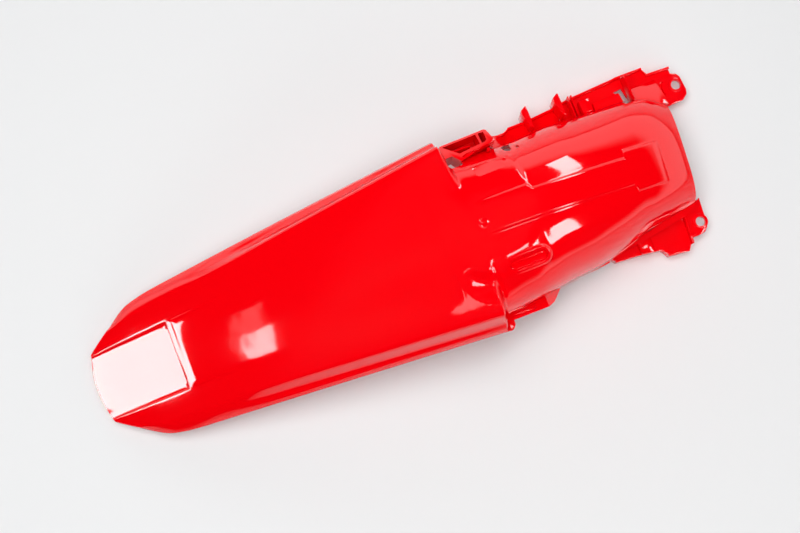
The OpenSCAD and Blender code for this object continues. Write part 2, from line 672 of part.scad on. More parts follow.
// An ear with its bolt hole, and the boss round the hole
boss_h = 1.5;
boss_w = 3;
module ear_plate(x, y, shares) {
    translate([0, 0, plate_z - ear_t])
    linear_extrude(ear_t)
    polygon([for (p = shares) [tail_l + x + p[0] * ear_r, y + p[1] * ear_r]]);
    translate([tail_l + x, y, plate_z - ear_t])
    cylinder(d = ear_bore_d + 2 * boss_w, h = ear_t + boss_h, $fn = 64);
}
module ear_bore(x, y) {
    translate([tail_l + x, y, 0])
    cylinder(d = ear_bore_d, h = crest_z / 2, $fn = 64);
}
ear_nose_share = 0.75;
left_ear_shares = [[-1.75, -1.3], [-0.77, -1.5], [0.15, -1.46], [0.62, -1.08], [ear_nose_share, -0.65],
                   [0.65, 0.62], [0.45, 0.95], [0, 1.14], [-1.75, 1.14]];
right_ear_shares = [[-1.3, 1.1], [-1.15, -1.04], [-0.52, -1.06], [0.05, -0.97], [0.42, -0.62],
                    [0.54, -0.08], [0.71, 1.85], [0, 1.9]];

// The whole moulding
overall_l = tip_bow + tail_l + left_ear_x + ear_nose_share * ear_r;
middle_shift = (tail_step_w / 2 - tab_reach) / 2;
module fender() {
    color(red)
    translate([tip_bow - overall_l / 2, middle_shift, 0])
    difference() {
        union() {
            shell();
            slot_rim_ring();
            pocket_tub();
            rail();
            rail_uprights();
            rail_pads();
            rail_ramp();
            right_ledge();
            right_flange();
            ear_plate(left_ear_x, left_ear_y, left_ear_shares);
            ear_plate(right_ear_x, -right_ear_y, right_ear_shares);
        }
        slot_hollow();
        dimple();
        pocket_hollow();
        side_hole(window_shares);
        peg_hole();
        seat_recess();
        rail_pad_hollows();
        bracket_slot();
        box_hollow();
        ear_bore(left_ear_x, left_ear_y);
        ear_bore(right_ear_x, -right_ear_y);
    }
}

fender();
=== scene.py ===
import math

import bmesh
import bpy
import numpy as np
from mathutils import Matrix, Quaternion, Vector


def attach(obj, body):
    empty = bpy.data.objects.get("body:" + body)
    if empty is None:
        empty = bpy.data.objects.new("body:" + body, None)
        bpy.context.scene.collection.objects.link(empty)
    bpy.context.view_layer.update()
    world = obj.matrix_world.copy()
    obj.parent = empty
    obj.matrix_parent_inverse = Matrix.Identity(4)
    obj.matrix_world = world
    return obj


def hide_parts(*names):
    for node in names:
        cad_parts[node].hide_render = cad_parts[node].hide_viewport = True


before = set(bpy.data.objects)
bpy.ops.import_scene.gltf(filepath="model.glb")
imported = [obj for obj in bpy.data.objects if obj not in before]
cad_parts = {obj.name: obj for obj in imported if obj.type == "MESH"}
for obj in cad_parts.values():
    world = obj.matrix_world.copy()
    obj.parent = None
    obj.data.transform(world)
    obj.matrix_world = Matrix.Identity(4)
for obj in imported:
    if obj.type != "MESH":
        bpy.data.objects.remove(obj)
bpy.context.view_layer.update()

scene = bpy.context.scene

# Camera. The picture looks down on the fender almost from straight above, with the tail to
# the lower left, through a portrait lens on a full-frame sensor.
view_turn = math.radians(-21.5)
view_height = math.radians(82.0)
view_distance = 1.44
aim = Vector((-0.0097, -0.0050, 0.060))
lens, sensor_w = 60, 36
back = Vector((math.sin(view_turn) * math.cos(view_height),
               -math.cos(view_turn) * math.cos(view_height),
               math.sin(view_height)))
camera = bpy.data.objects.new("camera", bpy.data.cameras.new("camera"))
camera.data.lens = lens
camera.data.sensor_width = sensor_w
camera.location = aim + back * view_distance
camera.rotation_mode = "QUATERNION"
camera.rotation_quaternion = (-back).to_track_quat("-Z", "Y")
scene.collection.objects.link(camera)
scene.camera = camera
scene.view_settings.view_transform = "Standard"

# Studio. A sheet of pale paper lies under the fender, the walls round it are white low down
# and dark above, and softboxes stand to the left, right and far side.
floor_size = 30.0
paper_colour = (0.80, 0.805, 0.81, 1)
walls_low, walls_high = (1.45, 1.45, 1.45, 1), (0.004, 0.004, 0.0045, 1)
walls_lean, walls_fade = (-0.12, -0.2, 1.0), (0.14, 0.34)
floor_mesh = bpy.data.meshes.new("paper_floor")
floor_mesh.from_pydata([(-floor_size, -floor_size, 0), (floor_size, -floor_size, 0),
                        (floor_size, floor_size, 0), (-floor_size, floor_size, 0)],
                       [], [(0, 1, 2, 3)])
paper_floor = bpy.data.objects.new("paper_floor", floor_mesh)
scene.collection.objects.link(paper_floor)


def new_material(name):
    """A material and its Principled shader."""
    made = bpy.data.materials.new(name)
    made.use_nodes = True
    return made, made.node_tree.nodes["Principled BSDF"]


paper, paper_shader = new_material("pale_paper")
paper_shader.inputs["Base Color"].default_value = paper_colour
paper_shader.inputs["Roughness"].default_value = 0.9
paper_shader.inputs["Specular IOR Level"].default_value = 0.1
floor_mesh.materials.append(paper)

world = bpy.data.worlds.new("studio_walls")
world.use_nodes = True
scene.world = world
sky = world.node_tree
direction = sky.nodes.new("ShaderNodeTexCoord")
lean = sky.nodes.new("ShaderNodeVectorMath")
lean.operation = "DOT_PRODUCT"
lean.inputs[1].default_value = walls_lean
rise = sky.nodes.new("ShaderNodeMapRange")
rise.interpolation_type = "SMOOTHSTEP"
rise.inputs["From Min"].default_value, rise.inputs["From Max"].default_value = walls_fade
walls = sky.nodes.new("ShaderNodeMix")
walls.data_type = "RGBA"
walls.inputs["A"].default_value = walls_low
walls.inputs["B"].default_value = walls_high
sky.links.new(direction.outputs["Generated"], lean.inputs[0])
sky.links.new(lean.outputs["Value"], rise.inputs["Value"])
sky.links.new(rise.outputs["Result"], walls.inputs["Factor"])
sky.links.new(walls.outputs["Result"], sky.nodes["Background"].inputs["Color"])


def softbox(name, at, towards, width, height, radiance, roll=0.0, glossy=True):
    """A rectangular lamp of an even radiance that faces a point; the roll is in degrees."""
    lamp = bpy.data.lights.new(name, "AREA")
    lamp.shape = "RECTANGLE"
    lamp.size = width
    lamp.size_y = height
    lamp.energy = radiance * math.pi * width * height
    holder = bpy.data.objects.new(name, lamp)
    holder.location = at
    facing = Vector(towards) - Vector(at)
    holder.rotation_mode = "QUATERNION"
    holder.rotation_quaternion = (facing.to_track_quat("-Z", "Y")
                                  @ Quaternion((0, 0, 1), math.radians(roll)))
    holder.visible_glossy = glossy
    holder.visible_diffuse = not glossy
    scene.collection.objects.link(holder)
    return holder


lamp_distance = 1.6


def out_from(spot, direction):
    """A lamp's place: out from the spot that it faces, at the softboxes' common distance."""
    return spot + lamp_distance * Vector(direction)


tail_spot = Vector((-0.32, 0.0, 0.015))
softbox("softbox_left", out_from(tail_spot, (-0.763, 0.134, 0.632)), tail_spot, 0.64, 0.62, 21)
crown_spot = Vector((-0.178, -0.035, 0.06))
softbox("softbox_left_high", out_from(crown_spot, (-0.566, 0.033, 0.824)), crown_spot,
        0.21, 0.06, 13.5)
softbox("softbox_left_dim", out_from(crown_spot, (-0.566, 0.167, 0.813)), crown_spot,
        0.2, 0.055, 1.6, 12)
bend_spot = Vector((0.05, -0.05, 0.12))
softbox("softbox_bend", out_from(bend_spot, (-0.312, -0.176, 0.934)), bend_spot,
        0.06, 0.17, 3, 7)
arch_spot = Vector((0.177, -0.03, 0.115))
softbox("softbox_right", out_from(arch_spot, (0.47, -0.375, 0.799)), arch_spot,
        0.15, 0.6, 17, -40)
slot_spot = Vector((0.12, -0.04, 0.118))
softbox("softbox_right_high", out_from(slot_spot, (0.25, -0.165, 0.954)), slot_spot,
        0.42, 0.13, 12, -56)
far_spot = Vector((0.19, 0.03, 0.115))
softbox("softbox_far", out_from(far_spot, (0.503, 0.611, 0.611)), far_spot, 0.6, 0.2, 17, -43)

# Two large silks light the fender and the paper evenly. The gloss doesn't show them.
softbox("overhead_silk", Vector((-0.2, 0.1, 2.2)), Vector((0, 0, 0)), 2.4, 2.0, 3.9,
        glossy=False)
softbox("side_silk", Vector((0.7, -2.2, 0.9)), Vector((0.1, 0, 0)), 2.4, 1.4, 1.6,
        glossy=False)

# Moulded shell. One skin of red polypropylene, injection moulded about 3 mm thick: a
# crowned tail panel between two creases, and an arch over the wheel in front of the bend.
# Sizes are in millimetres; stations run from the tail tip to the front, left is positive.
wall = 3.0
tail_l, arch_l = 402.0, 289.0
bend_z, crest_z, crest_x = 121.0, 124.0, 53.0
tip_w, tail_base_w, tail_step_w, corner_l = 80.0, 148.0, 220.0, 105.0
tip_bow, tip_draw_l = 7.0, 60.0
crease_base_w, crease_step_w = 108.0, 191.0
lip_tip_drop, lip_step_drop, lip_min_w = 4.0, 41.0, 1.6
crown_h, crown_tip_share, tail_bow_share = 8.0, 0.4, 0.24
recess_l, recess_tip_w, recess_front_w, recess_d = 93.0, 73.0, 80.0, 2.6
ridge_h, ridge_gap, ridge_rise_l, ridge_end = 1.1, 2.0, 7.0, 172.0
front_fall, front_lip_drop, front_lip_share = 58.0, 9.0, 0.19
arch_w, step_foot_z, front_foot_z = 196.0, 62.0, 13.0
section_right_share, section_left_share, crease_share = 2.7, 2.25, 0.80
step_gap, bend_l, wing_end_l = 30.0, 46.0, 9.0
front_bow, front_skew, front_draw_share = 6.0, 10.0, 0.35
strap_h, strap_lag, strap_fade = 1.65, 12.0, 24.0
strap_right, strap_left, strap_left_rear = (11.5, 15.5), (19.5, 15.0), 24.0
strap_break, strap_break_l = 505.0, 4.0
pad_w, pad_l, pad_share, pad_slope_l = 46.0, 44.0, 0.74, 7.0
edge_ramp = 1.4
left_ear_x, left_ear_y, right_ear_x, right_ear_y = 321.0, 84.0, 285.0, 71.0
ear_bore_d, ear_nose = 11.0, 9.75
tab_reach = 118.0
front_l = tail_l + arch_l
step_x = tail_l + step_gap
tip_z = wall + lip_tip_drop + crown_h * crown_tip_share
strap_start = tail_l + crest_x - strap_lag
pad_start = tail_l + arch_l * pad_share
overall_l = tip_bow + tail_l + left_ear_x + ear_nose
middle = np.array([tip_bow - overall_l / 2, (tail_step_w / 2 - tab_reach) / 2, 0.0])
millimetre = 0.001

right_foot_shares = [(0, 1), (0.1, 0.95), (0.294, 0.9), (0.44, 0.83), (0.547, 0.80), (0.616, 0.76),
                     (0.706, 0.69), (0.775, 0.62), (0.903, 0.56), (1, 0.51)]
left_foot_shares = [(0, 0.98), (0.1, 0.9), (0.2, 0.86), (0.34, 0.86), (0.43, 0.89), (0.55, 0.92),
                    (0.844, 0.89), (0.917, 0.84), (0.958, 0.77), (0.982, 0.725), (1, 0.68)]
foot_drop_shares = [(0, 0), (0.1, 0), (0.294, 0.2), (0.41, 0.75), (0.62, 1), (1, 1)]
lip_fall_shares = [(0, 0), (0.42, 0.62), (0.82, 0.76), (1, 1)]
wing_shares = (0.35, 0.8)


def mix(a, b, t):
    return a + (b - a) * t


def smooth(t):
    u = np.clip(t, 0.0, 1.0)
    return u * u * (3 - 2 * u)


def along(shares, t, reach=0.03):
    """A table of shares read at t, with its corners rounded over a short reach."""
    xs, ys = np.array(shares, float).T
    weights = [(k, 5 - abs(k)) for k in range(-4, 5)]
    total = sum(w for k, w in weights)
    return sum(w * np.interp(t + k * reach / 4, xs, ys) for k, w in weights) / total


def tail_top(x):
    t = x / tail_l
    return mix(tip_z, bend_z, t * (1 + tail_bow_share - tail_bow_share * t))


def tail_crown(x):
    return crown_h * mix(crown_tip_share, 1.0, np.clip(x / tail_l, 0, 1))


def tail_edge(x):
    cut = (tail_base_w - tip_w) / 2 * (1 - np.clip(x / corner_l, 0, 1)) ** 3
    return mix(tail_base_w, tail_step_w, x / step_x) / 2 - cut


def tail_crease(x):
    plain = mix(crease_base_w, crease_step_w, x / step_x) / 2
    return np.minimum(plain, tail_edge(x) - lip_min_w)


def lip_fall(x, s):
    """The edge flange: rounded by the tip, and with a step along its middle further on."""
    stepped = smooth((x - corner_l) / corner_l)
    drop = mix(lip_tip_drop, lip_step_drop, np.clip(x / step_x, 0, 1))
    return drop * mix(s ** 1.7, along(lip_fall_shares, s, 0.06), stepped)


def arch_top(t):
    past = (t * arch_l - crest_x) / (arch_l - crest_x)
    turned = np.clip((t - 1 + front_lip_share) / front_lip_share, 0, 1)
    return crest_z - front_fall * past * np.abs(past) - front_lip_drop * turned ** 2


def arch_half(t, side):
    return arch_w / 2 * along(right_foot_shares if side < 0 else left_foot_shares, t)


def arch_foot(t):
    return mix(step_foot_z, front_foot_z, along(foot_drop_shares, t))


def band_half(x, side):
    """Reach of the middle band to one side: the recess, the ridge, the strap and its pad."""
    recess = mix(recess_tip_w, recess_front_w, x / ridge_end) / 2
    rear, front = strap_right if side < 0 else strap_left
    strap = mix(rear, front, (x - strap_start) / (pad_start - strap_start))
    if side > 0:
        strap = mix(strap_left_rear, strap, smooth((x - strap_break) / strap_break_l))
    waist = mix(recess, strap, smooth((x - ridge_end) / (strap_start - ridge_end)))
    return mix(waist, pad_w / 2, smooth((x - pad_start) / edge_ramp))


def band_lift(x):
    """Height of the middle band: the recess, the ridge before it, the strap and its pad."""
    climb = smooth((x - recess_l) / edge_ramp)
    past = x - recess_l - edge_ramp - ridge_gap
    slope = smooth(past / ridge_rise_l)
    fade = 1 - smooth((past - ridge_rise_l) / (ridge_end - recess_l))
    recess = -recess_d * (1 - climb) + ridge_h * slope * fade
    strap = strap_h * smooth((x - strap_start) / strap_fade)
    pad_end = 1 - np.clip((x - pad_start - pad_l + pad_slope_l) / pad_slope_l, 0, 1)
    return recess + strap * pad_end


# The shoulders beside the strap are flatter than the arch, and end in front in a fold that
# runs outwards from the strap. Each table has distances from the middle line first.
shoulder_from, shoulder_l = 425.0, 26.0
right_rise = [(15, 0), (25, 0.8), (36, 2.2), (58, 2.6), (76, 0)]
right_fold_top = [(17, 504), (24.5, 480), (33, 471), (36, 457), (60, 455)]
right_fold = [(17, 510), (25.5, 503.5), (48, 502), (58, 500.5), (76, 498)]
left_rise = [(24, 0), (27, 0.3), (40, 1.6), (55, 3.0), (62, 3.2), (78, 0)]
left_fold_top = [(26, 505.5), (62, 500.8), (78, 499)]
left_fold = [(26, 508), (40, 508.5), (46.4, 510.5), (54, 517), (62, 522), (78, 524)]

# A scoop runs forward over the end of the right wing, between two edges whose tables have
# stations first, with a narrow bar at its mouth. The bend itself shows as a low crease.
scoop_inner = [(404, 40), (413.6, 41), (424, 47.6), (436, 52.6), (453, 60.5)]
scoop_outer = [(403, 55), (409, 63.5), (419.5, 71), (432.6, 76.2), (446, 78.5)]
scoop_from, scoop_l, scoop_to, scoop_end_l, scoop_d, scoop_edge = 402.0, 30.0, 436.0, 9.0, 5.0, 3.0
bend_crease_x, bend_crease_h, bend_crease_l, bend_crease_r = 401.0, 0.6, 3.0, 0.7
bend_crease_reach, bend_crease_fade = 50.0, 20.0

# Round the oblong recess on the right shoulder the skin swells up to the rim.
slot_x, slot_y, slot_l, slot_w = 477.0, -51.0, 46.0, 16.0
swell_h, swell_l = 0.4, 12.0


def read(table, at):
    return np.interp(at, *np.array(table, float).T)


def relief(x, y, side):
    """Height that the shoulders, the scoop and the bend's crease add to the skin."""
    rise, top, fold = ((right_rise, right_fold_top, right_fold) if side < 0 else
                       (left_rise, left_fold_top, left_fold))
    down = np.clip((x - read(top, y)) / (read(fold, y) - read(top, y)), 0, 1)
    level = 1 - down ** 2 if side < 0 else (1 - down) ** 2
    shoulder = read(rise, y) * smooth((x - shoulder_from) / shoulder_l) * level
    crease = bend_crease_h * np.exp(-np.hypot(x - bend_crease_x, bend_crease_r) / bend_crease_l)
    raised = shoulder + crease * (1 - smooth((y - bend_crease_reach) / bend_crease_fade))
    if side > 0:
        return raised
    ends = smooth((x - scoop_from) / scoop_l) * (1 - smooth((x - scoop_to) / scoop_end_l))
    between = (smooth((y - read(scoop_inner, x)) / scoop_edge)
               * (1 - smooth((y - read(scoop_outer, x)) / scoop_edge + 1)))
    beyond = np.maximum(np.abs(x - slot_x) - (slot_l - slot_w) / 2, 0)
    away = np.hypot(beyond, y + slot_y) - slot_w / 2
    return raised - scoop_d * ends * between + swell_h * (1 - smooth(away / swell_l))


# The section's columns from the middle outwards. Zone 0 is the band, 1 its edge, 2 runs to
# the crease and 3 is the side; they are closer together where the form turns.
band_columns, edge_columns, top_columns, side_columns = 9, 4, 30, 26
columns = [(0, 0.0)] + [(z, s) for z, count in enumerate((band_columns, edge_columns, top_columns,
                                                          side_columns))
                        for s in np.linspace(0, 1, count + 1)[1:]]
zone = np.array([z for z, s in columns])
share = np.array([s for z, s in columns])


def zone_y(band, crease):
    """Distance from the middle line of the columns inside the crease."""
    inner, outer = band - edge_ramp / 2, band + edge_ramp / 2
    return np.where(zone == 0, share * inner,
                    np.where(zone == 1, mix(inner, outer, share), mix(outer, crease, share)))


def skin_rows(x, side):
    """Points of the outer skin on one side of the middle line, a row for each station."""
    x = x[:, None]
    band, crease, edge = band_half(x, side), tail_crease(x), tail_edge(x)
    y = zone_y(band, crease)
    top, crown = tail_top(x), tail_crown(x)
    tail_y = np.where(zone < 3, y, mix(crease, edge, share))
    tail_z = np.where(zone < 3, top - crown * (y / crease) ** 2, top - crown - lip_fall(x, share))

    t = (x - tail_l) / arch_l
    half, foot = arch_half(t, side), arch_foot(t)
    rise, knee = arch_top(t) - foot, half * crease_share
    section_share = section_right_share if side < 0 else section_left_share
    turn = math.asin(crease_share ** (section_share / 2))
    y = zone_y(band, knee)
    inside = np.clip(y / half, 0, 1)
    bow = (1 - inside ** section_share) ** (1 / section_share)
    angle = mix(turn, math.pi / 2, share)
    arch_y = np.where(zone < 3, y, half * np.sin(angle) ** (2 / section_share))
    arch_z = foot + rise * np.where(zone < 3, bow, np.abs(np.cos(angle)) ** (2 / section_share))

    out = np.where(zone < 2, 0.0, np.where(zone == 3, 1.0, smooth(
        (share - wing_shares[0]) / (wing_shares[1] - wing_shares[0]))))
    turned = mix(smooth((x - tail_l) / bend_l), smooth((x - step_x) / wing_end_l), out)
    y = side * mix(tail_y, arch_y, turned)
    in_recess = 1 - smooth((x - recess_l) / edge_ramp)
    flat = in_recess * crown * ((y / crease) ** 2 - (band / crease) ** 2)
    in_band = np.where(zone == 0, 1.0, np.where(zone == 1, 1 - smooth(share), 0.0))
    lift = (band_lift(x) + flat) * in_band
    z = mix(tail_z, arch_z, turned) + lift + relief(x, np.abs(y), side)
    u = 2 * y / arch_w
    drawn = smooth((x - front_l) / (arch_l * front_draw_share) + 1)
    bowed = tip_bow * (1 - smooth(x / tip_draw_l)) * (1 - (2 * y / tip_w) ** 2)
    shifted = x + drawn * (front_bow * u * u + front_skew * u) - bowed
    return np.stack([shifted, y, z], axis=-1)


def spaced(start, end, step):
    return list(np.linspace(start, end, max(2, round((end - start) / step) + 1)))[:-1]


# Runs of stations along the fender: from, to and about how far apart. They are close where
# the skin steps up or down, and at the bend.
tip_gap, coarse_step, fine_step = 0.8, 4.0, 0.35
wall_top = recess_l + edge_ramp
ridge_top = wall_top + 2 * ridge_rise_l
wing_end = step_x + wing_end_l
pad_front = pad_start + pad_l
runs = [(tip_gap, recess_l, coarse_step), (recess_l, wall_top, fine_step),
        (wall_top, ridge_top, 1.0), (ridge_top, tail_l - 10, coarse_step),
        (tail_l - 10, wing_end, 1.4), (wing_end, pad_start, 1.6),
        (pad_start, pad_start + edge_ramp, fine_step), (pad_start + edge_ramp, pad_front, 1.6),
        (pad_front, pad_front + edge_ramp, fine_step), (pad_front + edge_ramp, front_l - 2, 1.8)]
stations = np.array([x for run in runs for x in spaced(*run)] + [front_l - 2, front_l - 1])
right_skin = skin_rows(stations, -1)
left_skin = skin_rows(stations, 1)
skin = np.concatenate([right_skin[:, :0:-1], left_skin], axis=1)


def fillet(points, passes):
    """Rounds what is sharp across the skin, leaving its outer columns where they are."""
    for turn in range(passes):
        points[:, 1:-1] = (points[:, :-2] + 2 * points[:, 1:-1] + points[:, 2:]) / 4
    return points


fillet_passes = 3
skin = fillet(skin, fillet_passes)


def normals(points):
    """Unit normals of a grid of points."""
    down = np.gradient(points, axis=0)
    across = np.gradient(points, axis=1)
    out = np.cross(down, across)
    return out / np.linalg.norm(out, axis=2, keepdims=True)


def solid(name, points, faces):
    """A mesh object from points in millimetres, measured from the tail tip."""
    mesh = bpy.data.meshes.new(name)
    mesh.from_pydata([tuple(p) for p in (np.asarray(points) + middle) * millimetre], [], faces)
    mesh.update()
    made = bpy.data.objects.new(name, mesh)
    scene.collection.objects.link(made)
    return made


rim_shares, rim_bulge = (0.12, 0.35, 0.65, 0.88), 0.7


def shell_mesh(outer):
    """Outer skin, inner skin one wall inside it, and a rounded rim between the two."""
    rows, cols = outer.shape[:2]
    inner = outer - wall * normals(outer)
    loop = ([(i, 0) for i in range(rows)] + [(rows - 1, j) for j in range(1, cols)]
            + [(i, cols - 1) for i in range(rows - 2, -1, -1)]
            + [(0, j) for j in range(cols - 2, 0, -1)])
    points = np.concatenate([outer.reshape(-1, 3), inner.reshape(-1, 3)])
    index = np.arange(rows * cols).reshape(rows, cols)
    a, b = index[:-1, :-1].ravel(), index[:-1, 1:].ravel()
    c, d = index[1:, 1:].ravel(), index[1:, :-1].ravel()
    far = rows * cols
    faces = np.concatenate([np.stack([a, d, c, b], axis=1), np.stack([a, b, c, d], axis=1) + far])
    ring = [index[p] for p in loop]
    edge = np.array([outer[p] for p in loop])
    under = np.array([inner[p] for p in loop])
    along_edge = np.roll(edge, -1, axis=0) - np.roll(edge, 1, axis=0)
    proud = np.cross(along_edge, under - edge)
    proud /= np.linalg.norm(proud, axis=1, keepdims=True)
    rings = [ring]
    for s in rim_shares:
        rings.append(list(range(len(points), len(points) + len(loop))))
        swell = rim_bulge * (1 - (2 * s - 1) ** 4)
        points = np.concatenate([points, mix(edge, under, s) + swell * proud])
    rings.append([r + far for r in ring])
    count = len(loop)
    rim = [(first[k], second[k], second[(k + 1) % count], first[(k + 1) % count])
           for first, second in zip(rings, rings[1:]) for k in range(count)]
    return points, [tuple(int(v) for v in f) for f in list(faces) + rim]


points, faces = shell_mesh(skin)
moulding = solid("fender_moulding", points, faces)


def combine(target, tool, operation):
    """Adds one closed mesh to another, or cuts it out, and keeps only the result."""
    step = target.modifiers.new("combine", "BOOLEAN")
    step.operation = operation
    step.solver = "MANIFOLD"
    step.object = tool
    depsgraph = bpy.context.evaluated_depsgraph_get()
    result = bpy.data.meshes.new_from_object(target.evaluated_get(depsgraph))
    target.modifiers.clear()
    spent = target.data
    target.data = result
    bpy.data.meshes.remove(spent)
    bpy.data.meshes.remove(tool.data)


def gathered(tools):
    """Several closed meshes made into one."""
    for tool in tools[1:]:
        combine(tools[0], tool, "UNION")
    return tools[0]


def add(tools):
    combine(moulding, gathered(tools), "UNION")


def cut(tools):
    combine(moulding, gathered(tools), "DIFFERENCE")


def height(value, x, y):
    return value(x, y) if callable(value) else value


def slab(outline, low, high, round_by=0.5):
    """A plate or block over an outline; a height is a number or a function of the place."""
    count = len(outline)
    points = ([(x, y, height(low, x, y)) for x, y in outline]
              + [(x, y, height(high, x, y)) for x, y in outline])
    area = sum(outline[k - 1][0] * outline[k][1] - outline[k][0] * outline[k - 1][1]
               for k in range(count))
    order = list(range(count)) if area > 0 else list(range(count - 1, -1, -1))
    faces = [tuple(reversed(order)), tuple(k + count for k in order)]
    faces += [(order[k - 1], order[k], order[k] + count, order[k - 1] + count)
              for k in range(count)]
    made = solid("slab", points, faces)
    if round_by:
        mesh = bmesh.new()
        mesh.from_mesh(made.data)
        bmesh.ops.bevel(mesh, geom=mesh.edges[:], offset=round_by * millimetre, segments=2,
                        profile=0.5, affect="EDGES", clamp_overlap=True)
        mesh.to_mesh(made.data)
        mesh.free()
    return made


def disc(x, y, low, high, radius, round_by=0.5, count=48):
    """A round boss or hole, upright on the floor."""
    turns = [2 * math.pi * k / count for k in range(count)]
    points, faces = [], []
    part = 0.3 * round_by
    for z, r in ((low, radius), (high - round_by, radius), (high - part, radius - part),
                 (high, radius - round_by)):
        points += [(x + r * math.cos(a), y + r * math.sin(a), z) for a in turns]
    for k in range(3):
        faces += [(k * count + j, k * count + (j + 1) % count,
                   (k + 1) * count + (j + 1) % count, (k + 1) * count + j) for j in range(count)]
    faces += [tuple(range(count - 1, -1, -1)), tuple(range(3 * count, 4 * count))]
    return solid("disc", points, faces)


def skin_z(x, y):
    """Height of the arch's outer skin."""
    t = (x - tail_l) / arch_l
    half, foot = float(arch_half(t, np.sign(y))), float(arch_foot(t))
    section_share = section_right_share if y < 0 else section_left_share
    inside = min(1.0, abs(y) / half)
    bow = (1 - inside ** section_share) ** (1 / section_share)
    plain = foot + (float(arch_top(t)) - foot) * bow
    return plain + float(relief(x, abs(y), np.sign(y)))


# Oblong recess on the right shoulder. A stiff rim stands round it and a bead runs along its
# floor, both moulded with the skin, which swells up to the rim.
slot_rim, slot_d, slot_floor_lean, slot_clear_z, rim_root = 2.3, 3.2, 0.14, 4.0, 1.0
rim_profile = [(3.2, -1.3), (2.4, -0.3), (1.6, 0.5), (0.7, 1.05), (-0.4, 1.25), (-1.3, 1.05),
               (-2.0, 0.6)]
slot_bead_half_l, slot_bead_h, slot_bead_sink = 17.0, 1.1, 1.0
slot_bead_from, slot_bead_to = 1.2, 2.4


def on_skin(x, y, piece):
    """Tilts a mesh built round the origin to lie on the skin at a place."""
    reach = 2.0
    lean = math.atan2(skin_z(x, y + reach) - skin_z(x, y - reach), 2 * reach)
    c, s = math.cos(lean), math.sin(lean)
    for vertex in piece.data.vertices:
        px, py, pz = (vertex.co / millimetre) - Vector(middle)
        placed = Vector((x + px, y + py * c - pz * s, skin_z(x, y) + py * s + pz * c))
        vertex.co = (placed + Vector(middle)) * millimetre
    return piece


def oblong(length, width, sides=16):
    """An outline with round ends, round the origin."""
    r, half = width / 2, (length - width) / 2
    right = [(half + r * math.cos(a), r * math.sin(a))
             for a in np.linspace(-math.pi / 2, math.pi / 2, sides)]
    return right + [(-x, -y) for x, y in right]


def stacked(rings):
    """A closed mesh through several outlines, one above the other, given with their heights."""
    count = len(rings[0][0])
    points = [(x, y, z) for outline, z in rings for x, y in outline]
    faces = [tuple(range(count - 1, -1, -1)),
             tuple(range((len(rings) - 1) * count, len(rings) * count))]
    faces += [(k * count + j, k * count + (j + 1) % count,
               (k + 1) * count + (j + 1) % count, (k + 1) * count + j)
              for k in range(len(rings) - 1) for j in range(count)]
    return solid("rim", points, faces)


def slot_floor(x, y):
    return slot_floor_lean * y - slot_d


rim_foot = (oblong(slot_l - 2 * rim_root, slot_w - 2 * rim_root), -slot_d - wall)
rim_rings = [(oblong(slot_l + 2 * out, slot_w + 2 * out), z) for out, z in rim_profile]
slot_bead = [(-slot_bead_half_l, slot_bead_from), (slot_bead_half_l, slot_bead_from),
             (slot_bead_half_l, slot_bead_to), (-slot_bead_half_l, slot_bead_to)]
add([on_skin(slot_x, slot_y, stacked([rim_foot] + rim_rings))])
cut([on_skin(slot_x, slot_y, slab(oblong(slot_l - 2 * slot_rim, slot_w - 2 * slot_rim),
                                  slot_floor, slot_clear_z))])
add([on_skin(slot_x, slot_y, slab(slot_bead, -slot_d - slot_bead_sink, -slot_d + slot_bead_h,
                                  0.4))])

# Left pocket. A tub sunk into the left shoulder for the clip of the side panel and moulded
# with the skin. It has a rib across it, a deep corner by the bend and a small dish beside it.
pocket_floor_z, pocket_rib_z, deep_corner_d, dish_d = 56.0, 84.0, 10.0, 5.0
pocket_inner_z, pocket_outer_z, pocket_inner_y, pocket_w = 104.0, 90.0, 72.0, 28.0
pocket_outline = [(431.5, 68), (437.8, 100.2), (489.2, 101.0), (491.5, 99.5), (495.5, 84),
                  (470, 80)]
main_chamber = [(440.2, 97.7), (478.7, 98.3), (479.3, 85.9), (454.6, 83.6), (448.1, 90.3)]
end_chamber = [(481.7, 98.3), (487.6, 98), (487.6, 88.0), (484.6, 86.3), (481.2, 86.2)]
deep_corner = [(437.7, 83.2), (446.2, 84.0), (454.3, 72.8), (451.9, 70.6), (436.5, 70.6),
               (435.7, 73.6)]
dish = [(455.3, 78.9), (460.4, 81.2), (482.8, 81.8), (486.6, 77.7), (485.6, 75.3), (463.2, 74.8)]
pocket_rib = [(446, 90.3), (470, 89.6), (470, 91.4), (446, 92.2)]
dish_pin, dish_pin_foot_z, dish_pin_z, dish_pin_r = (485.0, 76.6), 85.0, 100.0, 1.8
clear_z = 130.0


def pocket_top(x, y):
    return mix(pocket_inner_z, pocket_outer_z, (y - pocket_inner_y) / pocket_w)


add([slab(pocket_outline, pocket_floor_z, pocket_top, 0.7)])
cut([slab(main_chamber, pocket_floor_z + wall, clear_z, 0.4),
     slab(end_chamber, pocket_floor_z + wall, clear_z, 0.4),
     slab(deep_corner, pocket_floor_z - deep_corner_d, clear_z, 0.4),
     slab(dish, lambda x, y: pocket_top(x, y) - dish_d, clear_z, 0.8)])
add([slab(pocket_rib, pocket_floor_z, pocket_rib_z, 0.4),
     disc(*dish_pin, dish_pin_foot_z, dish_pin_z, dish_pin_r)])

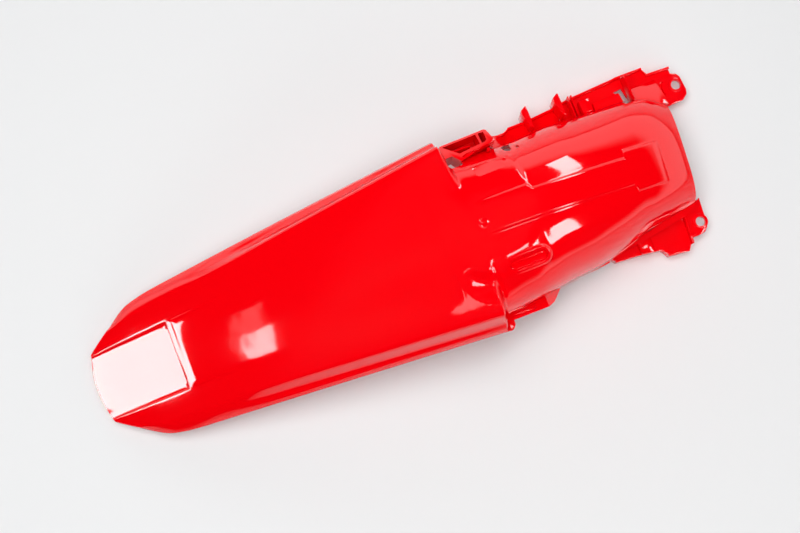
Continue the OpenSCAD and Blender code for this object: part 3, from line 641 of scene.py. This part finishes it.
# Openings in the skin in front of the pocket. The mould leaves a window, a small hole by it,
# and a shallow rectangular recess with a pin for the seat.
window = [(499.5, 76.4), (505.9, 79.5), (511.0, 78.0), (508.4, 69.2), (506.2, 67.5),
          (501.3, 69.4)]
window_foot_z, peg_hole, peg_hole_foot_z, peg_hole_r = 40.0, (516.4, 70.8), 80.0, 1.9
seat_recess = [(458.8, 62.0), (460.3, 51.7), (462.5, 49.7), (497.8, 50.3), (498.7, 52.5),
               (496.0, 59.8), (493.4, 61.8), (463.5, 63.2)]
seat_recess_x, seat_recess_y, seat_recess_d, seat_recess_lean = 480.0, 56.0, 1.6, 0.5
seat_pin, seat_pin_foot_z, seat_pin_h, seat_pin_r = (494.5, 58.6), 98.0, 1.0, 1.7
seat_recess_z = skin_z(seat_recess_x, seat_recess_y) - seat_recess_d


def seat_recess_floor(x, y):
    return seat_recess_z - (y - seat_recess_y) * seat_recess_lean


cut([slab(window, window_foot_z, clear_z),
     disc(*peg_hole, peg_hole_foot_z, clear_z, peg_hole_r),
     slab(seat_recess, seat_recess_floor, clear_z, 0.6)])
add([disc(*seat_pin, seat_pin_foot_z, skin_z(*seat_pin) + seat_pin_h, seat_pin_r)])


# Left rail. A plate moulded to the foot of the arch for the side panel's clips. It has a wall
# along its edge, two tall tabs, a pair of ribs, two pads and a ramp up to the front corner.
plate_z, plate_t, rail_wall_h, rail_wall_t, foot_z = 14.5, 3.0, 5.0, 2.6, 11.0
strip_overlap, wall_overlap, rail_foot_end = 0.3, 0.8, 688.0
rail_edge = [(510, 99.0), (517.7, 100.5), (524.2, 104.6), (550.3, 105.6), (584.4, 109.7),
             (601.9, 113.5), (606.5, 113.2), (657.5, 116), (660.4, 116.6), (692.2, 116.4),
             (695.2, 107.3), (722.0, 106.2)]
rail_root = [(498, 99.3), (512, 99.3), (514, 88), (498, 84)]
tabs, tab_z = ((549.8, 117.4), (588.3, 118.0)), 46.0
tab_from_tip = [(0, -0.4), (-1.5, 0), (-7.5, -3.6), (-7.8, -9)]
tab_root_y, tab_foot_y, tab_foot_l = 91.0, 94.0, 4.0
rib_xs, rib_t, rib_z, rib_from_y, rib_to_y = (598.9, 602.6), 1.8, 33.0, 88.0, 113.0
tall_pad, tall_pad_z = [(609.8, 88), (609.8, 104.5), (622.3, 104.2), (622.7, 88)], 28.0
long_pad, long_pad_z = [(625, 88), (625.8, 97.7), (660, 98.1), (659.3, 84)], 21.0
ramp_foot_z, ramp_rise, ramp_edge_y, ramp_lean = 12.0, 0.8, 98.0, 0.5
ramp = [(668, 77), (668, 98.5), (703, 98.5), (703, 64), (694, 68), (686, 74), (676, 80)]
bracket_slot = [(653.2, 101.5), (663.3, 102.8), (665.4, 90.7), (670.3, 84.4), (662.9, 79.3),
                (653.0, 78.0), (652.1, 82.8), (659.2, 84.4), (657.4, 97.2)]
bracket_rib, bracket_rib_z = [(666.0, 82), (666.0, 112), (667.8, 112), (667.8, 82)], 38.0
below_z, slot_top_z = -1.0, 60.0


def plate_top(x, y=0):
    return float(arch_foot((x - tail_l) / arch_l)) + plate_z - front_foot_z


def plate_under(x, y):
    return plate_top(x) - plate_t


def ramp_top(x, y):
    return plate_z + ramp_rise + (ramp_edge_y - y) * ramp_lean


def foot_y(x, side, inset=wall / 2):
    """Place of the middle of the wall at the foot of one side of the arch."""
    return side * (float(arch_half((x - tail_l) / arch_l, side)) - inset)


def strip(start, end, start_y, end_y, overlap):
    """Outline between a piece of an edge and two places beside its ends."""
    (xa, ya), (xb, yb) = start, end
    return [(xa - overlap, ya), (xb + overlap, yb), (xb + overlap, end_y), (xa - overlap, start_y)]


rail = []
for a, b in zip(rail_edge, rail_edge[1:]):
    feet = [foot_y(min(x, rail_foot_end), 1) for x, y in (a, b)]
    rail += [slab(strip(a, b, *feet, strip_overlap), plate_under, plate_top, 0),
             slab(strip(a, b, a[1] - rail_wall_t, b[1] - rail_wall_t, wall_overlap),
                  lambda x, y: plate_top(x) - plate_z, lambda x, y: plate_top(x) + rail_wall_h)]
rail.append(slab(rail_root, plate_under, lambda x, y: plate_top(x) + plate_t))
for tip_x, tip_y in tabs:
    tab = ([(tip_x, tab_root_y)] + [(tip_x + dx, tip_y + dy) for dx, dy in tab_from_tip]
           + [(tip_x - tab_foot_l, tab_foot_y)])
    rail.append(slab(tab, foot_z, tab_z, 0.8))
for rib_x in rib_xs:
    rib = [(rib_x, rib_from_y), (rib_x, rib_to_y), (rib_x + rib_t, rib_to_y),
           (rib_x + rib_t, rib_from_y)]
    rail.append(slab(rib, foot_z, rib_z))
rail += [slab(tall_pad, foot_z, tall_pad_z, 1.5), slab(long_pad, foot_z, long_pad_z, 0.6),
         slab(ramp, ramp_foot_z, ramp_top, 0.6)]
add(rail)
cut([slab(bracket_slot, below_z, slot_top_z, 0.4)])
add([slab(bracket_rib, foot_z, bracket_rib_z)])


# Right ledge. The foot of the right wall turns out into a narrow ledge with an S-shaped
# step in its edge and two beads along it; a lug with a boss on it stands at its rear.
ledge_edge = [(433, -97.5), (440, -100), (488, -99.7), (496, -96.6), (501.6, -91.8),
              (508.8, -84.8), (514.7, -82.2), (557.8, -78.8), (574.8, -76.8)]
ledge_overlap, bead_from, bead_to, bead_t, bead_foot_z, bead_h = 0.2, 448.0, 474.0, 2.0, 52.0, 1.4
lug = [(428, -98), (446, -98), (446, -105), (440, -109.4), (432, -109.0)]
lug_foot_z, lug_z = 57.0, 61.0
lug_boss, lug_boss_foot_z, lug_boss_z, lug_boss_r = (439.6, -104.4), 55.0, 62.0, 5.2
ledge = [slab(strip(a, b, foot_y(a[0], -1), foot_y(b[0], -1), ledge_overlap), plate_under,
              plate_top, 0) for a, b in zip(ledge_edge, ledge_edge[1:])]
for bead_y in (-90.5, -95.0):
    low_y, high_y = bead_y - bead_t / 2, bead_y + bead_t / 2
    bead = [(bead_from, low_y), (bead_to, low_y), (bead_to, high_y), (bead_from, high_y)]
    ledge.append(slab(bead, bead_foot_z, lambda x, y: plate_top(x) + bead_h))
ledge += [slab(lug, lug_foot_z, lug_z, 0.8),
          disc(*lug_boss, lug_boss_foot_z, lug_boss_z, lug_boss_r)]
add(ledge)

# Right flange. A stepped plate moulded beside the front of the right wall, with a skirt down
# to the floor along its edge, a raised box and a rib; the right ear is at its front.
flange_foot_z, flange_wall_z, flange_wall_t, flange_inset = 11.5, 26.0, 2.0, 1.0
upper_edge = [(579.7, -72.6), (615.0, -69.5), (646.2, -64.7), (671.1, -60.4), (687.5, -52.7),
              (692.8, -48.5)]
skirt_edge = [(578.9, -74.1), (581.9, -79.1), (611.4, -81.8), (635.1, -85.1), (639.9, -93.9),
              (663.2, -97.2), (668.6, -89.3), (671.7, -84)]
skirt_t, skirt_foot_z = 2.8, 0.0
flange_plate = ([(578.9, -70)] + skirt_edge
                + [(692, -80), (693, -48), (672, -54), (640, -56)])
flange_box, flange_box_z = [(610.5, -68), (611.0, -82.2), (625.6, -84.3), (626.5, -66)], 22.0
flange_rib, flange_rib_z = [(670.4, -60), (667.0, -91.2), (669.4, -91.2), (672.8, -60)], 24.0
flange = []
for a, b in zip(upper_edge, upper_edge[1:]):
    feet = [max(y + flange_wall_t, foot_y(x, -1, flange_inset)) for x, y in (a, b)]
    flange.append(slab(strip(a, b, *feet, ledge_overlap), flange_foot_z, flange_wall_z, 0))
for a, b in zip(skirt_edge, skirt_edge[1:]):
    flange.append(slab(strip(a, b, a[1] + skirt_t, b[1] + skirt_t, strip_overlap),
                       skirt_foot_z, plate_z, 0.4))
flange += [slab(flange_plate, flange_foot_z, plate_z, 0.8),
           slab(flange_box, flange_foot_z, flange_box_z, 1.2),
           slab(flange_rib, flange_foot_z, flange_rib_z, 0.6)]
add(flange)

# Ears. A bolt through each holds the fender to the subframe. A raised ring stands round the
# hole, and a curved groove behind the left one leaves room for the bolt's washer.
left_ear = (tail_l + left_ear_x, left_ear_y)
right_ear = (tail_l + right_ear_x, -right_ear_y)
ear_under_z, ear_ring_z, ear_ring_r, groove_z = 10.5, 16.0, 8.5, 11.6
left_ear_plate = [(700, 64), (713, 64.5), (724.9, 65.0), (731, 70), (732.7, 75.5), (731.5, 92),
                  (728.8, 96.4), (723.2, 98.8), (700, 99)]
right_ear_plate = [(668, -58), (672, -84.5), (680.2, -84.8), (687.7, -83.6), (692.5, -79.0),
                   (694, -72), (696.2, -47), (690, -46)]
washer_groove = [(709.5, 93.5), (705.5, 91.0), (703.8, 86.0), (704.2, 81.0), (707.0, 77.0),
                 (709.0, 78.6), (707.4, 82.0), (707.4, 86.0), (708.6, 89.5), (711.0, 91.8)]
add([slab(left_ear_plate, ear_under_z, plate_z, 0.9),
     slab(right_ear_plate, ear_under_z, plate_z, 0.9),
     disc(*left_ear, ear_under_z, ear_ring_z, ear_ring_r),
     disc(*right_ear, ear_under_z, ear_ring_z, ear_ring_r)])
cut([slab(washer_groove, groove_z, slot_top_z, 0.3)])
cut([disc(*ear, below_z, slot_top_z, ear_bore_d / 2, 0.0) for ear in (left_ear, right_ear)])

# Dimple on the middle line behind the strap, left by the mould's core pin: a shallow hollow
# in the skin with the form of a ball.
dimple_x, dimple_y, dimple_r, dimple_d = 447.0, 1.0, 5.0, 1.5
ball_r = (dimple_r ** 2 + dimple_d ** 2) / (2 * dimple_d)
ball_mesh = bpy.data.meshes.new("dimple")
ball = bmesh.new()
bmesh.ops.create_uvsphere(ball, u_segments=96, v_segments=48, radius=ball_r * millimetre)
ball.to_mesh(ball_mesh)
ball.free()
ball_z = float(skin_z(dimple_x, dimple_y)) - dimple_d + ball_r
for vertex in ball_mesh.vertices:
    vertex.co += Vector(np.array([dimple_x, dimple_y, ball_z]) + middle) * millimetre
dimple = bpy.data.objects.new("dimple", ball_mesh)
scene.collection.objects.link(dimple)
cut([dimple])

# Finish. The plastic is dyed through and comes from a polished mould: a deep gloss whose
# level follows the flow of the plastic along the fender very faintly.
red, red_shader = new_material("red_polypropylene")
red_tree = red.node_tree
red_shader.inputs["Base Color"].default_value = (0.9, 0.0, 0.003, 1)
red_shader.inputs["IOR"].default_value = 1.5

grain = bpy.data.node_groups.new("moulded_gloss", "ShaderNodeTree")
grain.interface.new_socket("Roughness", in_out="OUTPUT", socket_type="NodeSocketFloat")
grain.interface.new_socket("Normal", in_out="OUTPUT", socket_type="NodeSocketVector")
place = grain.nodes.new("ShaderNodeTexCoord")
flow = grain.nodes.new("ShaderNodeMapping")
flow.inputs["Scale"].default_value = (5.0, 22.0, 22.0)
streaks = grain.nodes.new("ShaderNodeTexNoise")
streaks.inputs["Scale"].default_value = 1.0
streaks.inputs["Detail"].default_value = 3.0
level = grain.nodes.new("ShaderNodeMapRange")
level.inputs["From Min"].default_value = 0.3
level.inputs["From Max"].default_value = 0.7
level.inputs["To Min"].default_value = 0.035
level.inputs["To Max"].default_value = 0.065
waves = grain.nodes.new("ShaderNodeTexNoise")
waves.inputs["Scale"].default_value = 55.0
waves.inputs["Detail"].default_value = 1.0
uneven = grain.nodes.new("ShaderNodeBump")
uneven.inputs["Strength"].default_value = 0.5
uneven.inputs["Distance"].default_value = 0.00012
ends = grain.nodes.new("NodeGroupOutput")
grain.links.new(place.outputs["Object"], flow.inputs["Vector"])
grain.links.new(flow.outputs["Vector"], streaks.inputs["Vector"])
grain.links.new(streaks.outputs["Fac"], level.inputs["Value"])
grain.links.new(level.outputs["Result"], ends.inputs["Roughness"])
grain.links.new(place.outputs["Object"], waves.inputs["Vector"])
grain.links.new(waves.outputs["Fac"], uneven.inputs["Height"])
grain.links.new(uneven.outputs["Normal"], ends.inputs["Normal"])
gloss = red_tree.nodes.new("ShaderNodeGroup")
gloss.node_tree = grain
red_tree.links.new(gloss.outputs["Roughness"], red_shader.inputs["Roughness"])
red_tree.links.new(gloss.outputs["Normal"], red_shader.inputs["Normal"])
moulding.data.materials.clear()
moulding.data.materials.append(red)

for polygon in moulding.data.polygons:
    polygon.use_smooth = True
moulding.data.set_sharp_from_angle(angle=math.radians(40))
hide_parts("fender")
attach(moulding, "root")
